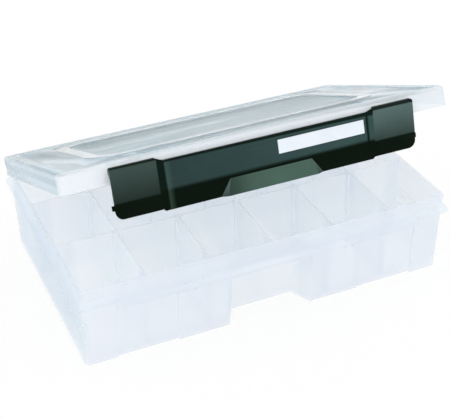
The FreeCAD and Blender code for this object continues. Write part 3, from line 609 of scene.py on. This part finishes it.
def latch_body_colouring(settings):
    """Painted light and polish above the crease and up the proud ends, more so to the right, and near-black
    painted shade below.
    """

    def colouring(tree, place):
        height = up_the_latch(tree, place)
        along = split(tree, place)["X"]
        # Painted light: the latch grows lighter from left to right.
        rightward = ramp(tree, along, -0.12, 0.12, smooth=True)
        on_end = ramp(tree, unsigned(tree, along), *END_EDGE_X)
        above_crease = ramp(tree, height, *CREASE, smooth=True)
        up_the_end = times(tree, ramp(tree, height, *END_CREASE, smooth=True), ramp(tree, height, *END_FADE))

        # Painted shade: a dark band along the top edge, widening to the right.
        top = plus(tree, times(tree, on_end, END_RISE), LATCH_TOP)
        edge = remap(tree, along, -LATCH_HALF_LENGTH, LATCH_HALF_LENGTH, TOP_EDGE_LEFT, TOP_EDGE_RIGHT)
        below_edge = ramp(tree, minus(tree, minus(tree, top, height), edge), *TOP_EDGE_BLEND, smooth=True)
        # Painted shade on the steps beside the proud ends.
        steps = larger(tree, between(tree, along, *LEFT_STEP_X), between(tree, along, *RIGHT_ROOT_X))
        dark = larger(tree, steps, minus(tree, 1.0, below_edge))

        upper = blend_colours(tree, rightward, rgba(settings.upper), rgba(settings.upper_right))
        ends = blend_colours(tree, rightward, rgba(settings.ends), rgba(settings.ends_right))
        middle = blend_colours(tree, above_crease, rgba(settings.lower), upper)
        # Painted highlight: the left root is lightened towards the thumb colour.
        left_root = times(tree, between(tree, along, *LEFT_ROOT_X), 0.35)
        middle = blend_colours(tree, left_root, middle, rgba(settings.thumb))
        end = blend_colours(tree, up_the_end, rgba(settings.lower), ends)
        tone = blend_colours(tree, on_end, middle, end)
        # The painted shade darkens the top edge and the steps.
        tone = blend_colours(tree, times(tree, dark, 0.9), tone, rgba(settings.lower))

        lit_end = times(tree, on_end, up_the_end)
        lit_middle = times(tree, minus(tree, 1.0, on_end), above_crease)
        lit = times(tree, plus(tree, lit_end, lit_middle), minus(tree, 1.0, dark))
        return tone, times(tree, lit, settings.gloss)

    return colouring


def thumb_colouring(settings):
    """The thumb grip, painted light on its upturned facet, fading darker towards its left end."""

    def colouring(tree, place):
        # Painted light: the grip is lighter to the right.
        painted_light = remap(tree, split(tree, place)["X"], *THUMB_LIGHT_X, 0.35, 1.0, smooth=True)
        return blend_colours(tree, painted_light, rgba(settings.lower), rgba(settings.thumb)), 0.2

    return colouring


def cheek_colouring(settings):
    """The cheeks beside the thumb grip, with a painted highlight that grows towards their top."""

    def colouring(tree, place):
        lit = remap(tree, up_the_latch(tree, place), *CHEEK_LIGHT, 0.4, 1.0)
        return blend_colours(tree, lit, rgba(settings.lower), rgba(settings.cheek)), 0.3

    return colouring


def on_flare(corners, normal, least_x, most_x):
    """Whether a face leans upwards below the thumb grip's top, at these distances from the latch's middle."""
    if normal.dot(LATCH_UP) <= FLARE_LEAN:
        return False
    return all(least_x <= abs(corner.x) < most_x and corner.dot(LATCH_UP) < THUMB_TOP for corner in corners)


def on_thumb(corners, normal):
    """Chooses the flared facet of the thumb grip."""
    facing_front = normal.y < -0.85 and abs(normal.x) < 0.1
    return facing_front and on_flare(corners, normal, 0, THUMB_HALF_LENGTH)


def on_cheek(corners, normal):
    """Chooses the two sloping cheeks beside the thumb grip."""
    turned_aside = normal.y < -0.6 and abs(normal.x) > 0.3
    return turned_aside and on_flare(corners, normal, *CHEEK_X)


def label_film(name, settings):
    """The matt write-on film, with the tooth that takes a pen."""
    material, tree, place = new_material(name)
    grain = moulded_grain(tree, place, grain=2600.0, cloud=60.0, smoothest=0.55, roughest=0.75)
    greyer = rgba([0.96 * part for part in settings.label])
    set_shader(
        tree,
        Base_Color=blend_colours(tree, grain["Clouding"], rgba(settings.label), greyer),
        Roughness=grain["Roughness"],
        Normal=bump(tree, grain["Height"], LABEL_RELIEF),
    )
    return material


def drawn_steel(name):
    """The pins' steel wire, with the fine lines of drawing along it."""
    material, tree, place = new_material(name)
    along = add(tree, "Mapping", {"Vector": place, "Scale": (0.04, 1.0, 1.0)}).outputs["Vector"]
    grain = moulded_grain(tree, place, grain=1800.0, cloud=80.0, smoothest=0.22, roughest=0.42)
    set_shader(
        tree,
        Base_Color=blend_colours(tree, grain["Clouding"], STEEL_BRIGHT, STEEL_DULL),
        Metallic=1.0,
        Roughness=grain["Roughness"],
        Normal=bump(tree, noise(tree, along, 5000.0, Detail=3.0), STEEL_RELIEF),
    )
    return material


def edit_all(piece):
    """Opens a piece's mesh with everything selected."""
    bpy.ops.object.select_all(action="DESELECT")
    piece.select_set(True)
    bpy.context.view_layer.objects.active = piece
    bpy.ops.object.mode_set(mode="EDIT")
    bpy.ops.mesh.select_all(action="SELECT")


def give_faces(piece, material, chosen):
    """Gives a material to the faces that the test chooses by the places of their corners and their normal."""
    piece.data.materials.append(material)
    piece.active_material_index = len(piece.data.materials) - 1
    bpy.ops.object.mode_set(mode="EDIT")
    bpy.ops.mesh.select_mode(type="FACE")
    bpy.ops.mesh.select_all(action="DESELECT")
    bpy.ops.object.mode_set(mode="OBJECT")
    corners = piece.data.vertices
    for face in piece.data.polygons:
        face.select = chosen([corners[i].co for i in face.vertices], face.normal)
    if not any(face.select for face in piece.data.polygons):
        raise RuntimeError(f"no face of {piece.name} was chosen for {material.name}")
    bpy.ops.object.mode_set(mode="EDIT")
    bpy.ops.object.material_slot_assign()
    bpy.ops.object.mode_set(mode="OBJECT")


def moulded_piece(node, name, body, rounding, material, others=()):
    """A piece made on a copy of a CAD node, with the small radius that a mould leaves on its edges.
    Others are pairs of another material and the test that chooses its faces."""
    piece = bpy.data.objects.new(name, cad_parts[node].data.copy())
    bpy.context.scene.collection.objects.link(piece)
    piece.data.materials.clear()
    piece.data.materials.append(material)
    edit_all(piece)
    bpy.ops.mesh.remove_doubles(threshold=MERGE_DISTANCE)
    bpy.ops.object.mode_set(mode="OBJECT")
    for other, chosen in others:
        give_faces(piece, other, chosen)
    edit_all(piece)
    bpy.ops.mesh.dissolve_limited(angle_limit=FLAT_ANGLE, delimit={"NORMAL", "MATERIAL"})
    bpy.ops.object.mode_set(mode="OBJECT")
    if rounding:
        bevel = piece.modifiers.new("mould radius", "BEVEL")
        bevel.width = rounding
        bevel.segments = 2
        bevel.limit_method = "ANGLE"
        bevel.angle_limit = SHARP_ANGLE
        bevel.use_clamp_overlap = False
        bpy.ops.object.modifier_apply(modifier=bevel.name)
    bpy.ops.object.shade_smooth_by_angle(angle=SMOOTH_ANGLE)
    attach(piece, body)
    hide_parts(node)


def paint(names, material):
    """A material on CAD nodes that keep their own shape."""
    for name in names:
        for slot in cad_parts[name].material_slots:
            slot.material = material


def nodes_starting(word):
    """The names of the nodes that start with a word, in order."""
    found = sorted(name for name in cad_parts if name.startswith(word))
    if not found:
        raise RuntimeError(f"the frame has no node whose name starts with {word}")
    return found


class TACKLE_BOX_OT_tray(bpy.types.Operator):
    """Rounds the tray's edges and gives it its frosted plastic"""

    bl_idname = "tackle_box.tray"
    bl_label = "Finish Tray"

    def execute(self, context):
        settings = context.scene.tackle_box_tray
        plastic = frosted_plastic("frosted tray plastic", settings)
        moulded_piece("base_tray", "tray", "tray_body", settings.rounding, plastic)
        return {"FINISHED"}


class TACKLE_BOX_OT_dividers(bpy.types.Operator):
    """Gives the loose dividers their frosted plastic"""

    bl_idname = "tackle_box.dividers"
    bl_label = "Finish Dividers"

    def execute(self, context):
        plastic = frosted_plastic("frosted divider plastic", context.scene.tackle_box_tray)
        paint(nodes_starting("divider"), plastic)
        return {"FINISHED"}


class TACKLE_BOX_OT_lid(bpy.types.Operator):
    """Rounds the lid's edges, and gives its top clear plastic and its rim frosted plastic"""

    bl_idname = "tackle_box.lid"
    bl_label = "Finish Lid"

    def execute(self, context):
        settings = context.scene.tackle_box_lid
        rim = frosted_rim_plastic("frosted rim plastic", settings, context.scene.tackle_box_tray)
        top = glossy_clear_plastic("polished lid plastic", settings)
        moulded_piece("lid", "clear_lid", "lid_body", settings.rounding, top, [(rim, on_rim)])
        return {"FINISHED"}


class TACKLE_BOX_OT_latch(bpy.types.Operator):
    """Rounds the latch's edges, gives it its dark plastic and gives the label its film"""

    bl_idname = "tackle_box.latch"
    bl_label = "Finish Latch and Label"

    def execute(self, context):
        settings = context.scene.tackle_box_latch
        parts = [
            # The thumb grip's plastic carries painted light.
            (dark_plastic("worn thumb grip plastic", thumb_colouring(settings)), on_thumb),
            (dark_plastic("thumb cheek plastic", cheek_colouring(settings)), on_cheek),
        ]
        plastic = dark_plastic("dark latch plastic", latch_body_colouring(settings))
        moulded_piece("latch", "latch_bar", "latch_body", settings.rounding, plastic, parts)
        paint(["write_on_label"], label_film("write-on film", settings))
        return {"FINISHED"}


class TACKLE_BOX_OT_pins(bpy.types.Operator):
    """Gives the hinge pins and latch pins their steel"""

    bl_idname = "tackle_box.pins"
    bl_label = "Finish Pins"

    def execute(self, context):
        paint(nodes_starting("hinge_pin") + nodes_starting("latch_pin"), drawn_steel("drawn steel"))
        return {"FINISHED"}


class TACKLE_BOX_OT_stage(bpy.types.Operator):
    """Sets the floor, the white surround, the lamps and the camera"""

    bl_idname = "tackle_box.stage"
    bl_label = "Set Stage"

    def execute(self, context):
        settings = context.scene.tackle_box_stage
        lay_floor(settings)
        set_surround(settings)
        hang_lamp("key lamp", KEY_PLACE, KEY_SIZE, settings.key_power)
        hang_lamp("fill lamp", FILL_PLACE, FILL_SIZE, settings.fill_power)
        place_camera()
        scene = context.scene
        scene.view_settings.view_transform = "Standard"
        scene.cycles.max_bounces = 24
        scene.cycles.diffuse_bounces = 16
        scene.cycles.transmission_bounces = 24
        scene.cycles.transparent_max_bounces = 40
        return {"FINISHED"}


def seen_directly(tree):
    """1 for rays from the camera, in a mirror or through clear plastic."""
    path = add(tree, "LightPath").outputs
    seen = larger(tree, path["Is Camera Ray"], path["Is Glossy Ray"])
    return larger(tree, seen, path["Is Transmission Ray"])


def lay_floor(settings):
    """The pale floor. It looks white, and keeps the box's soft shadow."""
    bpy.ops.object.select_all(action="DESELECT")
    bpy.ops.mesh.primitive_plane_add(size=settings.floor_size, location=(0, 0, -FLOOR_GAP))
    floor = bpy.context.object
    floor.name = "floor"
    material = bpy.data.materials.new("pale floor")
    material.use_nodes = True
    tree = material.node_tree
    tree.nodes.remove(tree.nodes["Principled BSDF"])
    paper = add(tree, "BsdfDiffuse", {"Color": rgba(settings.floor_colour)}).outputs[0]
    white = add(tree, "Emission", {"Color": (1, 1, 1, 1), "Strength": 1.0}).outputs[0]
    whiteness = times(tree, seen_directly(tree), FLOOR_WHITE)
    both = add(tree, "MixShader", {0: whiteness, 1: paper, 2: white}).outputs[0]
    tree.links.new(both, tree.nodes["Material Output"].inputs["Surface"])
    floor.data.materials.append(material)


def set_surround(settings):
    """A plain white surround, at full white where it is seen directly."""
    world = bpy.data.worlds.new("white surround")
    world.use_nodes = True
    tree = world.node_tree
    strength = remap(tree, seen_directly(tree), 0.0, 1.0, settings.surround, 1.0)
    set_sockets(tree, tree.nodes["Background"].inputs, {"Color": (1, 1, 1, 1), "Strength": strength})
    bpy.context.scene.world = world


def hang_lamp(name, place, size, watts):
    """A square soft lamp aimed at the box."""
    lamp = bpy.data.lights.new(name, "AREA")
    lamp.energy = watts
    lamp.size = size
    holder = bpy.data.objects.new(name, lamp)
    bpy.context.scene.collection.objects.link(holder)
    holder.location = place
    holder.rotation_euler = (Vector(place) - BOX_MIDDLE).to_track_quat("Z", "Y").to_euler()


def place_camera():
    """The camera at the photograph's angle, fitted to the corners of the box."""
    turn, rise, roll = CAMERA_TURN, CAMERA_RISE, CAMERA_ROLL
    back = Vector((sin(turn) * cos(rise), -cos(turn) * cos(rise), sin(rise)))
    level = Vector((0, 0, 1)).cross(back).normalized()
    upright = back.cross(level)
    right = cos(roll) * level + sin(roll) * upright
    up = -sin(roll) * level + cos(roll) * upright
    camera = bpy.data.objects.new("camera", bpy.data.cameras.new("camera"))
    bpy.context.scene.collection.objects.link(camera)
    camera.data.sensor_width = SENSOR_WIDTH
    camera.data.lens = FOCAL_PIXELS * SENSOR_WIDTH / PHOTO_WIDTH
    camera.data.clip_start = 0.1
    camera.data.clip_end = 20
    place = CAMERA_RIGHT * right + CAMERA_UP * up + CAMERA_BACK * back
    camera.matrix_world = Matrix.Translation(place) @ Matrix((right, up, back)).transposed().to_4x4()
    bpy.context.scene.camera = camera


STEPS = (
    TACKLE_BOX_OT_tray,
    TACKLE_BOX_OT_dividers,
    TACKLE_BOX_OT_lid,
    TACKLE_BOX_OT_latch,
    TACKLE_BOX_OT_pins,
    TACKLE_BOX_OT_stage,
)
SETTINGS = {
    "tackle_box_tray": TackleBoxTraySettings,
    "tackle_box_lid": TackleBoxLidSettings,
    "tackle_box_latch": TackleBoxLatchSettings,
    "tackle_box_stage": TackleBoxStageSettings,
}


class TACKLE_BOX_PT_finish(bpy.types.Panel):
    """Lists the settings and the steps that finish the tackle box"""

    bl_label = "Tackle Box"
    bl_space_type = "VIEW_3D"
    bl_region_type = "UI"
    bl_category = "Tackle Box"

    def draw(self, context):
        for name, group in SETTINGS.items():
            box = self.layout.box()
            for setting in group.__annotations__:
                box.prop(getattr(context.scene, name), setting)
        for step in STEPS:
            self.layout.operator(step.bl_idname)


CLASSES = (*SETTINGS.values(), *STEPS, TACKLE_BOX_PT_finish)


def register():
    """Adds the panel, the steps and their settings to Blender."""
    for made in CLASSES:
        bpy.utils.register_class(made)
    for name, group in SETTINGS.items():
        setattr(bpy.types.Scene, name, PointerProperty(type=group))


def unregister():
    """Takes them out again."""
    for name in SETTINGS:
        delattr(bpy.types.Scene, name)
    for made in reversed(CLASSES):
        bpy.utils.unregister_class(made)


def main():
    """Finishes the box step by step."""
    register()
    bpy.ops.tackle_box.tray()
    bpy.ops.tackle_box.dividers()
    bpy.ops.tackle_box.lid()
    bpy.ops.tackle_box.latch()
    bpy.ops.tackle_box.pins()
    bpy.ops.tackle_box.stage()


if __name__ == "__main__":
    main()
